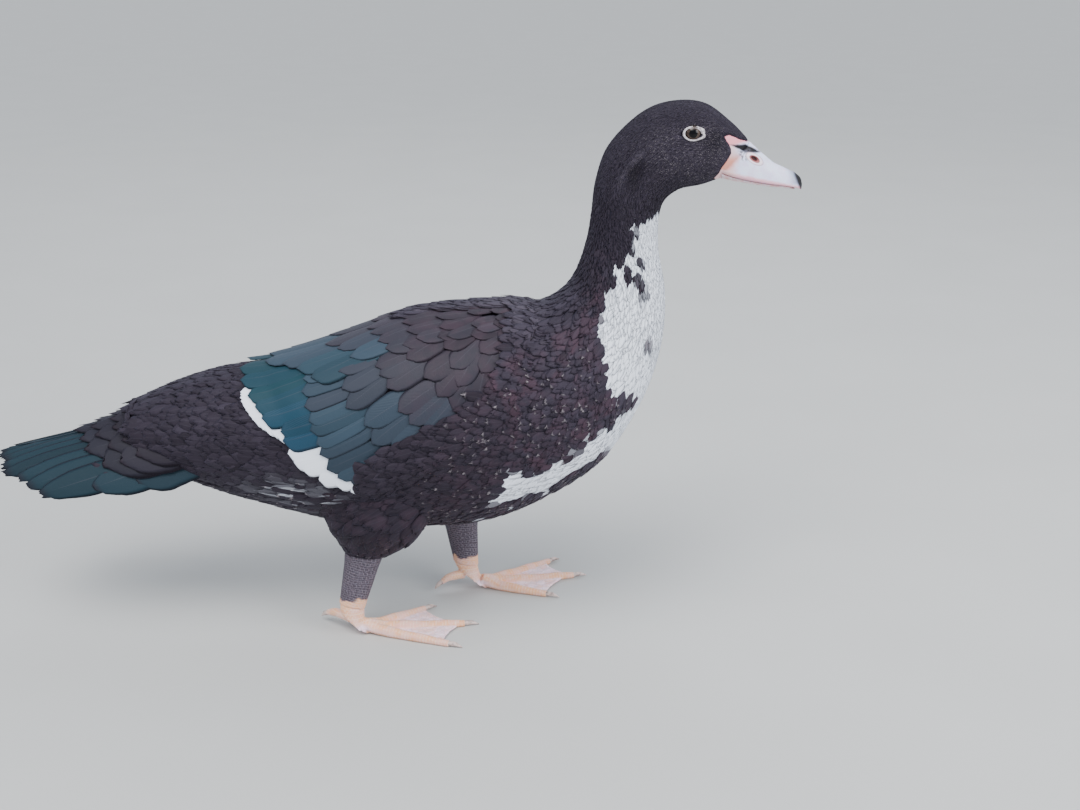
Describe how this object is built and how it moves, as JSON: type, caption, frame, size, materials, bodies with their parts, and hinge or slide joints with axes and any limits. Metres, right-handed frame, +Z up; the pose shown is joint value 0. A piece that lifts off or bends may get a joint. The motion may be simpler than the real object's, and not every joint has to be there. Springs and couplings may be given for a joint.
{
  "type": "muscovy duck",
  "caption": "Life-size still model of a young muscovy duck, dark with a white breast, stepping forward with its head up.",
  "frame": {"origin": "on the floor under the middle of the bounding box", "axes": "+X forwards along the body towards the bill, +Y to the bird's left, +Z up"},
  "size_m": [0.7159, 0.195, 0.48],
  "materials": {
    "dark_plumage": "soft dark plumage, purple-black with a faint gloss",
    "head_plumage": "short velvety black plumage",
    "pied_plumage": "dark plumage behind and white plumage in front, with a ragged edge",
    "wing_feathers": "glossy vanes, teal and grey-green, with a white edge at the rear",
    "tail_feathers": "broad dark vanes with a teal gloss",
    "thigh_plumage": "dark plumage with fine pale crescents",
    "bill_skin": "pale lilac-pink horny skin, darker at the base, with a black nail",
    "lower_bill_skin": "pale pink horny skin",
    "eye_glass": "wet dark brown eye",
    "shank_skin": "fine grey scales that turn pink towards the foot",
    "foot_skin": "pale pink scaled toes and thin webs",
    "claw_horn": "pale horn with darker tips"
  },
  "bodies": {
    "root": {"torso": "dark_plumage", "neck": "pied_plumage", "head": "head_plumage", "bill_upper": "bill_skin", "bill_lower": "lower_bill_skin", "tail": "tail_feathers", "eye_right": "eye_glass", "wing_right": "wing_feathers", "thigh_right": "thigh_plumage", "shank_right": "shank_skin", "foot_right": "foot_skin", "claw_right_1": "claw_horn", "claw_right_2": "claw_horn", "claw_right_3": "claw_horn", "claw_right_4": "claw_horn", "eye_left": "eye_glass", "wing_left": "wing_feathers", "thigh_left": "thigh_plumage", "shank_left": "shank_skin", "foot_left": "foot_skin", "claw_left_1": "claw_horn", "claw_left_2": "claw_horn", "claw_left_3": "claw_horn", "claw_left_4": "claw_horn"}
  },
  "joints": []
}
